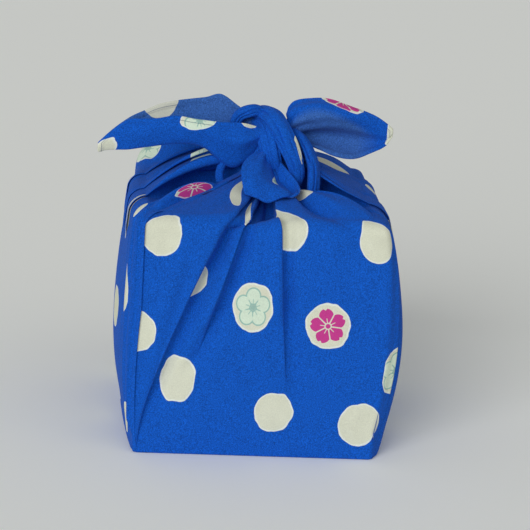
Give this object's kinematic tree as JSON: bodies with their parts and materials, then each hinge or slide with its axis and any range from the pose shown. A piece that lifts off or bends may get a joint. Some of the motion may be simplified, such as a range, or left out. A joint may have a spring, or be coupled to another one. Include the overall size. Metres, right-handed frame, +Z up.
{
  "type": "furoshiki wrap",
  "caption": "Square of printed cotton tied round a cube: flat foot, folds drawn up to a knot on top, spread ears at the sides, short tails front and back, hollow inside.",
  "frame": {"origin": "middle of the flat foot, on the surface it rests on", "axes": "+Z up through the knot; -Y is the front, with the short rolled tail; +X and -X are the ears"},
  "size_m": [0.1565, 0.1313, 0.1701],
  "materials": {
    "printed_cotton": "matt woven cotton with printed dots"
  },
  "bodies": {
    "root": {"furoshiki_cloth": "printed_cotton"}
  },
  "joints": []
}
